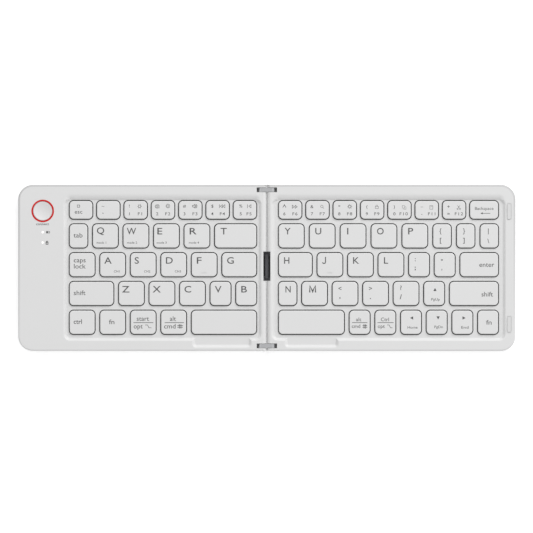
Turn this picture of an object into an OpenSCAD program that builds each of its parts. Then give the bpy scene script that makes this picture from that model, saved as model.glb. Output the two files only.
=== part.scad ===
// Folding keyboard in two halves, with a double hinge in the middle.
// X runs along the keyboard with the seam at 0, Y runs from front to back,
// and Z = 0 is the desk. The two halves are drawn as mirror images: u is the
// distance from the seam, so the left half is a mirrored drawing in u.

/* [Body] */
// From the keys to the left side
left_margin_w = 31.45; // [31:0.05:36]
// From the keys to the right side
right_margin_w = 10.65; // [10.5:0.05:13]
// From the back edge to the first caps
back_margin = 9.95; // [9.8:0.05:12]
// From the front edge to the last caps
front_margin = 10.35; // [10.2:0.05:12]
// Thickness of each half, without the feet
body_t = 6.8; // [6.4:0.1:8]
// Radius of the outer corners, seen from above
corner_r = 9; // [6:0.2:12]
// Radius of the long edges
edge_r = 1.0; // [0.5:0.1:1.4]
// Thickness of the side walls
wall_t = 1.3; // [1:0.1:1.6]
// Thickness of the roof outside the key well
roof_t = 1.1; // [0.9:0.1:1.4]
// Thickness of the bottom cover's floor
floor_t = 1.2; // [1.1:0.1:1.4]
// Height of the seam between the two covers, above the underside
split_h = 1.6; // [1.5:0.1:2]
// Height of the lip that locates the bottom cover, above that seam
lip_h = 1.2; // [0.8:0.1:1.6]
// Thickness of the lip
lip_t = 0.8; // [0.6:0.1:1]
// Clearance between parts that slip together
slip = 0.15; // [0.1:0.05:0.25]
// Width of the shadow line between the two covers
parting_gap = 0.15; // [0.05:0.05:0.3]

/* [Hinge] */
// Gap between the two noses when the keyboard lies flat
seam_gap = 0.2; // [0.15:0.05:0.4]
// Gap between the two tops when the keyboard is folded
fold_gap = 0.5; // [0.4:0.05:0.8]
// Depth of the hinge axes below the top
axis_drop = 2.75; // [2.6:0.05:3.2]
// Width of the solid hinge beam, from the seam
beam_w = 5.8; // [5.7:0.1:5.8]
// Radius of the ends of the steel links
link_r = 2.2; // [1.6:0.1:2.3]
// Thickness of a steel link, along the hinge
link_t = 2.5; // [2:0.1:3]
// Distance from the middle of a steel link to the end of the hinge
link_inset = 3.1; // [3:0.1:4]
// Room beside a steel link in its pocket
link_side_room = 0.2; // [0.15:0.05:0.4]
// Room at the round end of a steel link
link_end_room = 1.0; // [0.6:0.1:1.2]
// Wall between a link's pocket and the inside of the half
hinge_wall = 3.25; // [2.8:0.05:3.6]
// Wall beyond the inner end of a hinge pin
pin_wall = 1.55; // [1.2:0.05:1.8]
// Radius of the hinge pins
pin_r = 0.75; // [0.6:0.05:0.9]
// Length of a hinge pin
pin_len = 5.3; // [5:0.1:5.6]
// Radial clearance of a link on its pins
pin_run = 0.05; // [0.03:0.01:0.08]
// Radial clearance of a pin or trunnion in the cover
pin_seat = 0.02; // [0.02:0.01:0.05]

/* [Cable link] */
// Length of the cable link, along the hinge
cable_link_len = 17.8; // [14:0.2:24]
// Middle of the cable link, behind the middle of the keyboard
cable_link_y = 1.0; // [-5:0.5:5]
// Radius of its knuckles
knuckle_r = 1.2; // [1.1:0.1:1.3]
// Thickness of each knuckle
knuckle_t = 1.6; // [1.2:0.1:2.2]
// Width of the arms that go down to the strap
arm_w = 1.4; // [1.2:0.1:1.6]
// Thickness of the strap under the cable
strap_t = 1.2; // [1:0.1:1.3]
// Width of the bridge over the cable
bridge_w = 2.3; // [1.6:0.1:2.4]
// Height of the bridge
bridge_h = 1.5; // [0.8:0.1:1.5]
// Radius of its trunnions
trunnion_r = 0.7; // [0.5:0.05:0.8]
// Length of its trunnions
trunnion_len = 1.2; // [1:0.1:1.5]
// Width of the flat cable
cable_w = 12; // [8:0.5:12]
// Thickness of the flat cable
cable_t = 0.25; // [0.15:0.05:0.3]

/* [Keys] */
// Width of a letter key
letter_w = 15.25; // [14.9:0.05:15.6]
// Depth of a letter key
letter_d = 14.3; // [13.6:0.1:15]
// Width of a number key
number_w = 13.85; // [13.5:0.05:14.2]
// Depth of a number key
number_d = 10.9; // [10.4:0.1:12]
// Width of an arrow or punctuation key
narrow_w = 12.3; // [11.8:0.1:12.6]
// Width of the slimmest keys
slim_w = 10.8; // [10.4:0.1:11.2]
// Width of the wide home key on the right
wide_w = 20.2; // [19.6:0.1:21]
// Space between letter keys
key_space = 3.4; // [3:0.1:3.6]
// Space between number keys
number_space = 2.85; // [2.6:0.05:3.1]
// Space between rows of keys
row_space = 3.3; // [3:0.1:4]
// Room left under the skirt of a pressed cap
press_room = 0.5; // [0.4:0.05:0.8]
// Depth of the key tops below the body's top
cap_drop = 0.3; // [0.2:0.05:0.5]
// Thickness of a cap's sides
cap_wall = 0.9; // [0.7:0.1:1.1]
// Thickness of a cap's top
cap_top = 1.0; // [0.8:0.05:1.1]
// Corner radius of a cap
cap_r = 2.4; // [1.6:0.1:2.6]
// Rounding of a cap's top edge
cap_edge = 0.5; // [0.3:0.05:0.6]
// Gap between a cap and its hole
cap_gap = 0.6; // [0.5:0.05:0.7]
// How far a key goes down
key_travel = 1.2; // [0.8:0.1:1.3]
// Length of the bar that the forefingers feel for
bar_len = 3.2; // [2:0.1:4]
// Width of that bar
bar_w = 0.6; // [0.4:0.05:0.8]
// Height of that bar
bar_h = 0.25; // [0.15:0.05:0.3]
// From the front of the cap to the middle of that bar
bar_inset = 2.6; // [2:0.1:4]

/* [Key well] */
// From the seam to the caps of the left half
left_hinge_margin = 6.5; // [6.5:0.05:7.2]
// From the seam to the caps of the right half
right_hinge_margin = 7.3; // [6.9:0.05:7.6]
// Depth of the well
well_depth = 1.6; // [1.4:0.1:1.8]
// Thickness of the deck that the caps come through
deck_t = 0.9; // [0.7:0.1:1]
// From the caps to the rim of the well, at the left side
left_rim = 3.8; // [3.4:0.1:4.2]
// From the caps to the rim of the well, at the right side
right_rim = 4.8; // [4.2:0.1:4.9]
// From the caps to the rim of the well, at the front
front_rim = 4.3; // [3.8:0.1:4.5]
// From the caps to the rim of the well, at the back
back_rim = 4.5; // [4.3:0.1:4.8]
// From the caps to the rim at the hinge, on the left half
left_hinge_rim = 3.45; // [3:0.05:3.6]
// From the caps to the rim at the hinge, on the right half
right_hinge_rim = 4.6; // [4:0.05:4.6]
// Width of the rolled edge of the well
roll_w = 2.1; // [1.6:0.1:2.2]
// Width of the gentler roll along the back
back_roll_w = 4.0; // [3:0.1:4.1]
// Corner radius of the well's rim
well_r = 4.2; // [4.1:0.1:5]
// Corner radius of the finger notches
notch_r = 2.4; // [2.3:0.1:4]
// How far the finger notches go on in front of the well
notch_reach = 4.2; // [3:0.1:4.3]
// From the hinge end of the left space bar to its notch
left_notch_near = 2.65; // [2:0.05:6]
// From the other end of the left space bar to its notch
left_notch_far = 0.25; // [0:0.05:4]
// From the hinge end of the right space bar to its notch
right_notch_near = 3.5; // [2:0.05:6]
// From the other end of the right space bar to its notch
right_notch_far = 3.15; // [0:0.05:4]

/* [Under the keys] */
// Thickness of the steel base plate
plate_t = 0.6; // [0.4:0.1:0.6]
// Thickness of the switch membrane
membrane_t = 0.35; // [0.25:0.05:0.4]
// Gap between stacked layers
layer_gap = 0.05; // [0.05:0.01:0.1]
// How far the plate goes on beyond the caps
plate_over = 1.5; // [1.2:0.1:1.7]
// How far the plate stays behind the caps at the hinge
plate_behind = 0.65; // [0.4:0.05:1]
// How far the membrane stays behind the edge of the plate
membrane_inset = 0.3; // [0.1:0.05:0.5]
// Longest leg of a scissor
scissor_len = 9.6; // [8:0.1:9.8]
// Room between a scissor and the inside of its cap
scissor_room = 0.5; // [0.3:0.05:0.6]
// Gap between a scissor's two frames
scissor_gap = 0.2; // [0.15:0.05:0.3]
// Thickness of a scissor's legs, seen from the side
scissor_t = 0.6; // [0.5:0.05:0.7]
// Width of a scissor's legs, seen from above
scissor_leg = 0.7; // [0.6:0.05:0.8]
// Radius of a rubber dome's foot
dome_r = 2.0; // [1.6:0.1:2.1]
// Radius of a rubber dome's top
dome_top_r = 0.9; // [0.7:0.05:1]
// Wall of a rubber dome
dome_wall = 0.35; // [0.25:0.05:0.4]

/* [Fixings] */
// From the outer side to the outer screws
outer_screw_inset = 6.0; // [6:0.1:6.4]
// From the front and back edges to the outer screws
outer_screw_edge = 5.8; // [5.8:0.1:6.4]
// From the block round the hinge pins to the inner screw at the back
back_screw_gap = 4.55; // [4:0.05:10]
// From the space bar to the inner screw at the front
front_screw_gap = 4.5; // [3.5:0.1:10]
// From the front and back edges to the inner screws
inner_screw_edge = 4.8; // [4.8:0.05:5]
// Radius of a screw's head
screw_head_r = 1.7; // [1.5:0.05:1.8]
// Height of a screw's head
screw_head_h = 0.7; // [0.5:0.05:0.7]
// Radius of a screw's shank
screw_r = 0.7; // [0.5:0.05:0.8]
// Length of a screw's shank above its head
screw_len = 2.6; // [2.2:0.1:2.8]
// Wall round a screw, in both covers
boss_wall = 1.3; // [1:0.1:1.5]
// Radius of a rubber foot
foot_r = 3.2; // [2.8:0.1:4]
// How far the feet hold the body off the desk
foot_h = 0.8; // [0.6:0.1:1.5]
// Depth of the recess that a foot sits in
foot_recess = 0.4; // [0.3:0.05:0.4]

/* [Left margin] */
// From the outer side to the middle of the button
button_inset = 15.0; // [14:0.1:15.4]
// From the back edge to the middle of the button
button_edge = 16.05; // [15:0.05:18]
// Outer radius of the red ring
ring_r = 6.9; // [6:0.1:7]
// Width of the red ring
ring_w = 0.9; // [0.7:0.1:1.2]
// How far the ring stands proud
ring_proud = 0.1; // [0.05:0.05:0.2]
// Gap between the button and its ring
button_gap = 0.15; // [0.1:0.05:0.25]
// How far the button goes down
button_travel = 0.4; // [0.2:0.05:0.4]
// Radius of an indicator lens
lens_r = 0.75; // [0.5:0.05:0.8]
// From the button to the first indicator lens
lens_from_button = 12.95; // [12:0.05:15]
// Distance between the two indicator lenses
lens_pitch = 6.3; // [5:0.05:8]
// Thickness of the battery
battery_t = 3.8; // [3:0.1:3.9]
// Room beside the battery
battery_room = 0.6; // [0.4:0.1:1]
// Room for the leads at both ends of the battery
lead_room = 2; // [1.5:0.1:4]
// Width of the main board
board_w = 15; // [14:0.5:16]
// Length of the main board
board_len = 32.5; // [30:0.5:34]
// Room between the main board and the screw beside it
board_room = 0.7; // [0.5:0.1:1]
// Width of the charging socket
socket_w = 8.94; // [8.9:0.02:9.2]
// Height of the charging socket
socket_h = 3.26; // [3.2:0.02:3.3]
// Length of the charging socket
socket_len = 7.3; // [6.5:0.1:8]

/* [Right margin] */
// From the outer side to the middle of a bumper
bumper_inset = 3.9; // [3.6:0.1:4]
// From the front and back edges to the middle of a bumper and of a magnet
bumper_edge = 16.3; // [15:0.1:25]
// Length of a bumper
bumper_len = 9.6; // [7:0.1:12]
// Width of a bumper
bumper_w = 2.4; // [2:0.1:2.6]
// Gap between a bumper and its recess
bumper_gap = 0.15; // [0.1:0.05:0.2]
// How far a bumper stands proud
bumper_proud = 0.35; // [0.2:0.05:0.4]
// Depth of the recess that a bumper sits in
bumper_recess = 0.5; // [0.3:0.05:0.6]
// From the outer side to the middle of a closing magnet
magnet_inset = 3.15; // [3:0.05:3.2]
// Width of a closing magnet
magnet_w = 3; // [2:0.1:3]
// Length of a closing magnet
magnet_len = 8; // [5:0.5:10]
// Thickness of a closing magnet
magnet_t = 1.5; // [1:0.1:2]

/* [Hidden] */
$fn = 64;

// The two halves, as the side of the seam that each lies on
left = -1;
right = 1;
past = 1; // how far a cut goes on past the face that it opens

// Plan of the keys, which sets the size of the halves
number_keys = 7;
letter_rows = 4;
left_block_w = number_keys * number_w + (number_keys - 1) * number_space;
half_w = left_hinge_margin + left_block_w + left_margin_w;
right_block_w = half_w - right_hinge_margin - right_margin_w;
body_d = back_margin + number_d + letter_rows * (row_space + letter_d) + front_margin;

shell_grey = [0.88, 0.88, 0.88];
key_grey = [0.86, 0.86, 0.86];
steel = [0.72, 0.72, 0.73];
rubber_white = [0.93, 0.93, 0.92];
black = [0.12, 0.12, 0.13];

// Heights
under_z = foot_h;
top_z = under_z + body_t;
floor_z = under_z + floor_t;
split_z = under_z + split_h;
roof_z = top_z - roof_t;
deck_z = top_z - well_depth;
under_deck_z = deck_z - deck_t;
axis_z = top_z - axis_drop;
plate_z = floor_z + layer_gap;
membrane_z = plate_z + plate_t + layer_gap;
mechanism_z = membrane_z + membrane_t + layer_gap;
cap_z = top_z - cap_drop;
cap_roof_z = cap_z - cap_top;
mechanism_h = cap_roof_z - layer_gap - mechanism_z;
skirt_z = mechanism_z + key_travel + press_room;

// Hinge
axis_u = axis_drop + fold_gap / 2;
nose_r = axis_u - seam_gap / 2;
link_y = body_d / 2 - link_inset;
link_pocket_w = link_t + 2 * link_side_room;
link_pocket_u = axis_u + link_r + link_end_room;
link_pocket_z = axis_z - link_r - link_side_room;
hinge_block_u = link_pocket_u + hinge_wall;
hinge_block_y = link_y - pin_len / 2 - pin_wall;

// Cable link, in its pocket
cable_room = 0.3;
cable_end_room = 0.2;
cable_pocket_len = cable_link_len + 2 * cable_end_room;
cable_pocket_top_u = 2.15;
strap_z = under_z + 0.1;
cable_channel_d = 0.45;
cable_z = strap_z + strap_t - cable_channel_d + layer_gap;
tail_z = mechanism_z;
tail_len = 4.4;
tail_u = axis_u + arm_w / 2 + cable_room + 0.1;

// Rows of keys
row_count = letter_rows + 1;
rows_top = body_d / 2 - back_margin;
rows_bottom = front_margin - body_d / 2;
function row_depth(row) = row == 0 ? number_d : letter_d;
function row_top(row) =
  row == 0 ? rows_top : row_top(row - 1) - row_depth(row - 1) - row_space;
function block_w(side) = side == left ? left_block_w : right_block_w;
function block_u0(side) = side == left ? left_hinge_margin : right_hinge_margin;
function block_u1(side) = block_u0(side) + block_w(side);

// Each row from left to right: the key's node and its width. The key whose
// width is 0 takes what the row has left.
function keys_of(name, count, width) = [for (i = [1:count]) [name, width]];
left_rows = [
  concat([["key_escape", number_w]], keys_of("left_number_keys", number_keys - 1, number_w)),
  concat(
    [["key_tab", slim_w]],
    keys_of("left_upper_letter_keys", 4, letter_w),
    [["left_upper_letter_keys", 0]]
  ),
  concat(
    [["key_caps_lock", letter_w]],
    keys_of("left_home_letter_keys", 4, letter_w),
    [["left_home_letter_keys", 0]]
  ),
  concat(
    [["key_left_shift", 0]],
    keys_of("left_lower_letter_keys", 3, letter_w),
    keys_of("left_lower_letter_keys", 2, narrow_w)
  ),
  [
    ["key_left_ctrl", letter_w], ["key_left_fn", letter_w], ["key_start", letter_w],
    ["key_left_alt", letter_w], ["key_left_space", 0]
  ]
];
right_rows = [
  concat(keys_of("right_number_keys", number_keys, number_w), [["key_backspace", 0]]),
  concat(
    keys_of("right_upper_letter_keys", 5, letter_w),
    keys_of("right_upper_letter_keys", 3, slim_w)
  ),
  concat(
    [["right_home_letter_keys", wide_w]],
    keys_of("right_home_letter_keys", 3, letter_w),
    keys_of("right_home_letter_keys", 2, narrow_w),
    [["key_enter", 0]]
  ),
  concat(
    [["right_lower_letter_keys", slim_w]],
    keys_of("right_lower_letter_keys", 4, letter_w),
    [["key_arrow_up", narrow_w], ["key_right_shift", 0]]
  ),
  [
    ["key_right_space", 0], ["key_right_alt", narrow_w],
    ["key_right_ctrl", narrow_w], ["key_arrow_left", narrow_w],
    ["key_arrow_down", narrow_w], ["key_arrow_right", narrow_w],
    ["key_right_fn", narrow_w]
  ]
];

// The key with the bar that a forefinger feels for: its node and its number there
function homing_keys(side) =
  side == left ? ["left_home_letter_keys", 3] : ["right_home_letter_keys", 1];

// Places of the keys of one half: [node, x, y, width, depth], x and y in the
// middle of the cap
function rows_of(side) = side == left ? left_rows : right_rows;
function sum(list, end) = end <= 0 ? 0 : list[end - 1] + sum(list, end - 1);
function fixed_width(keys) = sum([for (key = keys) key[1]], len(keys));
function has_fill(keys) = len([for (key = keys) if (key[1] == 0) 1]) > 0;
function plain_space(row) = row == 0 ? number_space : key_space;
function space_in(side, row) =
  let (keys = rows_of(side)[row])
  has_fill(keys)
  ? plain_space(row)
  : (block_w(side) - fixed_width(keys)) / (len(keys) - 1);
function fill_width(side, row) =
  let (keys = rows_of(side)[row])
  block_w(side) - fixed_width(keys) - (len(keys) - 1) * space_in(side, row);
function widths(side, row) =
  [for (key = rows_of(side)[row]) key[1] == 0 ? fill_width(side, row) : key[1]];
function row_places(side, row) =
  let (
    keys = rows_of(side)[row],
    w = widths(side, row),
    x0 = side == left ? -block_u1(left) : right_hinge_margin
  )
  [
    for (i = [0:len(keys) - 1])
      [
        keys[i][0],
        x0 + sum(w, i) + i * space_in(side, row) + w[i] / 2,
        row_top(row) - row_depth(row) / 2,
        w[i],
        row_depth(row)
      ]
  ];
function all_places(side) =
  [for (row = [0:row_count - 1], place = row_places(side, row)) place];
function space_bar_w(side) = fill_width(side, row_count - 1);

// The well and its finger notch: the rims, as distances from the seam
function well_u0(side) = block_u0(side) - (side == left ? left_hinge_rim : right_hinge_rim);
function well_u1(side) = block_u1(side) + (side == left ? left_rim : right_rim);
function notch_u0(side) =
  block_u0(side) + (side == left ? left_notch_near : right_notch_near);
function notch_u1(side) =
  block_u0(side) + space_bar_w(side) - (side == left ? left_notch_far : right_notch_far);

// Fixings of one half, as [u, y]
outer_screw_u = half_w - outer_screw_inset;
outer_screw_y = body_d / 2 - outer_screw_edge;
inner_screw_y = body_d / 2 - inner_screw_edge;
function screw_places(side) = [
  [outer_screw_u, outer_screw_y],
  [outer_screw_u, -outer_screw_y],
  [hinge_block_u + back_screw_gap, inner_screw_y],
  [block_u0(side) + space_bar_w(side) + front_screw_gap, -inner_screw_y]
];
foot_slip = 0.1;
head_room = 0.2;
screw_head_z = floor_z - screw_head_h;
boss_over = 0.6;
lower_boss_r = screw_head_r + boss_wall;
upper_boss_r = screw_r + boss_wall;
pilot_room = 0.05;
shank_room = 0.15;
upper_boss_z = floor_z + boss_over + layer_gap;

// Left margin
button_u = half_w - button_inset;
button_y = body_d / 2 - button_edge;
button_r = ring_r - ring_w - button_gap;
ring_depth = 0.7;
button_drop = 0.1;
button_flange_z = roof_z - 0.1;
button_flange_t = 0.5;
button_stem_h = 0.25;
button_stem_z = button_flange_z - button_flange_t - button_stem_h;
switch_z = button_stem_z - button_travel - layer_gap;
board_z = plate_z;
board_t = 0.8;
board_top_z = board_z + board_t;
board_u1 = outer_screw_u - lower_boss_r - board_room;
board_u0 = board_u1 - board_w;
board_y1 = body_d / 2 - wall_t - 3;
board_y0 = board_y1 - board_len;
socket_u = (board_u0 + board_u1) / 2;
socket_z = board_top_z + layer_gap + socket_h / 2;
socket_y1 = body_d / 2 - 0.5;
socket_room = 0.23;
lens_flange_r = lens_r + 0.5;
lens_flange_t = 0.45;

// Margins
margin_step = 0.9; // how far the roof's hollow stays from the rim of the well
magnet_z = roof_z - layer_gap - magnet_t;
magnet_u = half_w - magnet_inset;
bumper_u = half_w - bumper_inset;
bumper_r = 0.7;
bumper_y = body_d / 2 - bumper_edge;
battery_u0 = well_u1(left) + margin_step + battery_room;
battery_u1 = magnet_u - magnet_w / 2 - battery_room;
battery_y0 = lower_boss_r + lead_room - outer_screw_y;
battery_y1 = board_y0 - lead_room;

// --- Shared shapes ---------------------------------------------------------

function arc(cx, cy, r, a0, a1, steps) = [
  for (i = [0:steps])
    let (a = a0 + (a1 - a0) * i / steps)
    [cx + r * cos(a), cy + r * sin(a)]
];

module mirror_half(side) {
  if (side == left) mirror([1, 0, 0]) children();
  else children();
}

// Rectangle with round corners
module round_rect(w, d, r) {
  square([w, d - 2 * r], center = true);
  square([w - 2 * r, d], center = true);
  for (sx = [-1, 1], sy = [-1, 1])
    translate([sx * (w / 2 - r), sy * (d / 2 - r)]) circle(r);
}

// Block with round corners whose rim follows a section. The section is the
// 2-D child: it lies between 0 and r, and between the heights z0 and z1 at 0.
module rimmed_block(w, d, r, z0, z1) {
  for (quarter = [0:3]) {
    along = quarter % 2 == 0 ? w : d;
    across = quarter % 2 == 0 ? d : w;
    rotate(quarter * 90) {
      translate([along / 2 - r, across / 2 - r, 0]) rotate_extrude(angle = 90) children();
      translate([along / 2 - r, 0, 0])
        rotate([90, 0, 0]) linear_extrude(across - 2 * r, center = true) children();
    }
  }
  translate([r - w / 2, r - d / 2, z0]) cube([w - 2 * r, d - 2 * r, z1 - z0]);
}

// What rounding takes off a square corner whose tip is at (e, e)
module corner_waste(e) {
  difference() {
    square(e);
    circle(e);
  }
}

// Section through the outer side of the body, from corner_r inward of it
module body_section(reach) {
  difference() {
    translate([0, under_z]) square([reach, body_t]);
    translate([reach - edge_r, top_z - edge_r]) corner_waste(edge_r);
    translate([reach - edge_r, under_z + edge_r]) mirror([0, 1]) corner_waste(edge_r);
  }
}

// Length of the body, between two distances from the seam
module body_length(u0, u1) {
  translate([u0, 0, 0])
    rotate([90, 0, 90])
      linear_extrude(u1 - u0)
        for (m = [0, 1]) mirror([m, 0]) body_section(body_d / 2);
}

// One half of the body as a solid: flat top and bottom, round outer corners,
// and a round nose along the hinge
module half_blank() {
  body_length(axis_u, half_w - corner_r);
  translate([half_w - corner_r, 0, 0])
    rotate([90, 0, 0])
      linear_extrude(body_d - 2 * corner_r, center = true) body_section(corner_r);
  for (m = [0, 1])
    mirror([0, m, 0])
      translate([half_w - corner_r, body_d / 2 - corner_r, 0])
        rotate_extrude(angle = 90) body_section(corner_r);
  nose();
}

// The seam side of a half. It turns about the axis, so it is round above it as
// far as the flat top, then upright, and round again below.
module nose() {
  under_axis_z = under_z + nose_r;
  intersection() {
    body_length(0, axis_u);
    union() {
      for (quarter = [[axis_z, 90], [under_axis_z, 180]])
        translate([axis_u, 0, quarter[0]])
          rotate([90, 0, 0])
            rotate([0, 0, quarter[1]])
              rotate_extrude(angle = 90) translate([0, -body_d / 2]) square([nose_r, body_d]);
      translate([axis_u - nose_r, -body_d / 2, under_axis_z])
        cube([nose_r, body_d, axis_z - under_axis_z]);
    }
  }
}

// Plan of the body, set in from its sides, from u0 outward
module inner_plan(u0, inset) {
  r = corner_r - inset;
  depth = body_d - 2 * inset;
  translate([u0, -depth / 2]) square([half_w - corner_r - u0, depth]);
  translate([half_w - corner_r - past, -depth / 2 + r])
    square([r + past, depth - 2 * r]);
  for (m = [0, 1])
    mirror([0, m]) translate([half_w - corner_r, depth / 2 - r]) circle(r);
}

// The same plan without the solid blocks that hold the hinge pins
module cavity_plan(inset) {
  difference() {
    inner_plan(beam_w, inset);
    for (m = [0, 1])
      mirror([0, m])
        translate([beam_w - past, hinge_block_y])
          square([hinge_block_u - beam_w + past, body_d]);
  }
}

// --- Covers ----------------------------------------------------------------

// Section through a rolled edge, drawn in the waste above it. The rise goes from
// 0 at the foot to 1 at the rim.
module roll_section(r, width, rises) {
  steps = len(rises) - 1;
  polygon(concat(
    [[0, deck_z]],
    [for (i = [0:steps]) [r - width + width * i / steps, deck_z + well_depth * rises[i]]],
    [[r, top_z + past], [0, top_z + past]]
  ));
}

roll_steps = 10;
s_rises = [for (i = [0:roll_steps]) (1 - cos(180 * i / roll_steps)) / 2];
round_rises = [for (i = [0:roll_steps]) 1 - pow(1 - i / roll_steps, 2)];

// Waste of a recess with a rolled edge, between two corners of its rim
module recess_cut(u0, u1, y0, y1, r, width, rises) {
  translate([(u0 + u1) / 2, (y0 + y1) / 2, 0])
    rimmed_block(u1 - u0, y1 - y0, r, deck_z, top_z + past) roll_section(r, width, rises);
}

// Waste of the well, of the gentler roll along its back, and of the finger notch
module well_cuts(side) {
  u0 = well_u0(side);
  u1 = well_u1(side);
  back_step = 0.3;
  recess_cut(u0, u1, rows_bottom - front_rim, rows_top + roll_w, well_r, roll_w, s_rises);
  recess_cut(
    u0 + back_step, u1 - back_step, rows_top - letter_d, rows_top + back_rim,
    well_r, back_roll_w, round_rises
  );
  recess_cut(
    notch_u0(side), notch_u1(side), rows_bottom - front_rim - notch_reach, rows_bottom,
    notch_r, roll_w, s_rises
  );
}

module key_holes(side) {
  for (place = all_places(side))
    translate([abs(place[1]), place[2], under_deck_z - past / 4])
      linear_extrude(deck_t + past / 2)
        round_rect(place[3] + 2 * cap_gap, place[4] + 2 * cap_gap, cap_r + cap_gap);
}

// Pocket and pin bore for both steel links
module link_pockets() {
  for (m = [0, 1])
    mirror([0, m, 0]) {
      translate([-past, link_y - link_pocket_w / 2, link_pocket_z])
        cube([link_pocket_u + past, link_pocket_w, top_z]);
      translate([axis_u, link_y, axis_z])
        rotate([90, 0, 0])
          cylinder(r = pin_r + pin_seat, h = pin_len + 2 * pin_seat, center = true);
    }
}

// Pocket, trunnion bores and cable slot for the cable link
module cable_pocket() {
  translate([0, cable_link_y, 0]) {
    translate([-past, -cable_pocket_len / 2, 0])
      cube([past + axis_u + arm_w / 2 + cable_room, cable_pocket_len, axis_z]);
    translate([-past, -cable_pocket_len / 2, axis_z - past / 2])
      cube([past + cable_pocket_top_u, cable_pocket_len, top_z]);
    translate([axis_u, 0, axis_z])
      rotate([90, 0, 0]) {
        cylinder(r = knuckle_r + cable_room, h = cable_pocket_len, center = true);
        cylinder(
          r = trunnion_r + pin_run,
          h = cable_link_len + 2 * trunnion_len + 2 * pin_run,
          center = true
        );
      }
    translate([axis_u, -cable_w / 2 - cable_room, tail_z - layer_gap])
      cube([beam_w - axis_u + past / 2, cable_w + 2 * cable_room, cable_t + 3 * layer_gap]);
  }
}

module top_cover(side) {
  difference() {
    half_blank();
    translate([beam_w, -body_d, -past]) cube([half_w, 2 * body_d, split_z + past]);
    difference() {
      translate([0, 0, split_z - past]) linear_extrude(under_deck_z - split_z + past)
        cavity_plan(wall_t);
      for (place = screw_places(side))
        translate([place[0], place[1], upper_boss_z]) cylinder(r = upper_boss_r, h = body_t);
    }
    difference() {
      translate([0, 0, under_deck_z - past / 2])
        linear_extrude(roof_z - under_deck_z + past / 2)
          intersection() {
            inner_plan(beam_w, wall_t);
            translate([well_u1(side) + margin_step, -body_d]) square([half_w, 2 * body_d]);
          }
      for (place = screw_places(side))
        translate([place[0], place[1], split_z]) cylinder(r = upper_boss_r, h = body_t);
    }
    for (place = screw_places(side))
      translate([place[0], place[1], upper_boss_z - past])
        cylinder(r = screw_r + pilot_room, h = screw_len - boss_over + past);
    well_cuts(side);
    key_holes(side);
    link_pockets();
    cable_pocket();
    if (side == left) left_margin_cuts();
    else right_margin_cuts();
  }
}

// Holes for the button, the lenses and the charging socket
module left_margin_cuts() {
  translate([button_u, button_y, 0]) {
    translate([0, 0, roof_z - past]) cylinder(r = ring_r - ring_w, h = 3 * past);
    translate([0, 0, top_z - ring_depth]) cylinder(r = ring_r, h = past);
  }
  lens_places() translate([0, 0, roof_z - past]) cylinder(r = lens_r, h = 3 * past);
  translate([socket_u, body_d / 2, socket_z])
    rotate([90, 0, 0])
      linear_extrude(2 * (wall_t + past), center = true)
        socket_outline(socket_room);
}

module right_margin_cuts() {
  for (m = [0, 1])
    mirror([0, m, 0])
      translate([bumper_u, bumper_y, top_z - bumper_recess])
        linear_extrude(bumper_recess + past) bumper_plan(bumper_gap);
}

module bottom_cover(side) {
  difference() {
    union() {
      difference() {
        half_blank();
        translate([-past, -body_d, -past])
          cube([beam_w + layer_gap + past, 2 * body_d, top_z + 2 * past]);
        translate([0, -body_d, split_z - parting_gap])
          cube([half_w + past, 2 * body_d, top_z]);
        translate([0, 0, floor_z]) linear_extrude(top_z) inner_plan(beam_w - past, wall_t);
      }
      for (place = screw_places(side))
        translate([place[0], place[1], floor_z - layer_gap])
          cylinder(r = lower_boss_r, h = boss_over + layer_gap);
      lip(side);
    }
    fixing_bores(side);
  }
}

// Bores for the screws and recesses for the feet
module fixing_bores(side) {
  for (place = screw_places(side))
    translate([place[0], place[1], 0]) {
      cylinder(r = foot_r + foot_slip, h = under_z + foot_recess);
      cylinder(r = screw_head_r + head_room, h = floor_z);
      cylinder(r = screw_r + shank_room, h = top_z);
    }
}

// Lip that goes up inside the top cover's wall
module lip(side) {
  lip_end = 1;
  socket_side = 1.5;
  translate([0, 0, floor_z - layer_gap])
    linear_extrude(split_z + lip_h - floor_z + layer_gap)
      difference() {
        inner_plan(hinge_block_u + lip_end, wall_t + slip);
        inner_plan(hinge_block_u, wall_t + slip + lip_t);
        if (side == left)
          translate([socket_u - socket_w / 2 - socket_side, 0])
            square([socket_w + 2 * socket_side, body_d]);
      }
}

// --- Pieces under the keys -------------------------------------------------

module plate_plan(side, over) {
  translate([block_u0(side) + plate_behind, rows_bottom - over])
    square([block_w(side) + over - plate_behind, rows_top - rows_bottom + 2 * over]);
}

module base_plate(side) {
  translate([0, 0, plate_z]) linear_extrude(plate_t) plate_plan(side, plate_over);
}

module membrane(side) {
  translate([0, 0, membrane_z]) linear_extrude(membrane_t)
    plate_plan(side, plate_over - membrane_inset);
}

// Square ring that forms one frame of a scissor
module scissor_frame(length, width) {
  difference() {
    square([length, width], center = true);
    square([length - 2 * scissor_leg, width - 2 * scissor_leg], center = true);
  }
}

// Two crossed frames, one inside the other, pinned at the middle
module scissor(cap_w) {
  run = min(scissor_len, cap_w - 2 * cap_wall - 2 * scissor_room);
  tilt = asin((mechanism_h - scissor_t) / run);
  outer_w = min(number_d, letter_d) - 2 * cap_wall - 2 * scissor_room;
  inner_w = outer_w - 2 * scissor_leg - 2 * scissor_gap;
  pivot_r = 0.25;
  sunk = 0.1;
  frames = [[tilt, inner_w], [-tilt, outer_w]];
  translate([0, 0, mechanism_z + mechanism_h / 2]) {
    for (frame = frames)
      rotate([0, frame[0], 0])
        linear_extrude(scissor_t, center = true) scissor_frame(run * cos(tilt), frame[1]);
    for (m = [0, 1])
      mirror([0, m, 0])
        translate([0, inner_w / 2 - sunk, 0])
          rotate([-90, 0, 0]) cylinder(r = pivot_r, h = scissor_gap + 2 * sunk);
  }
}

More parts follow.
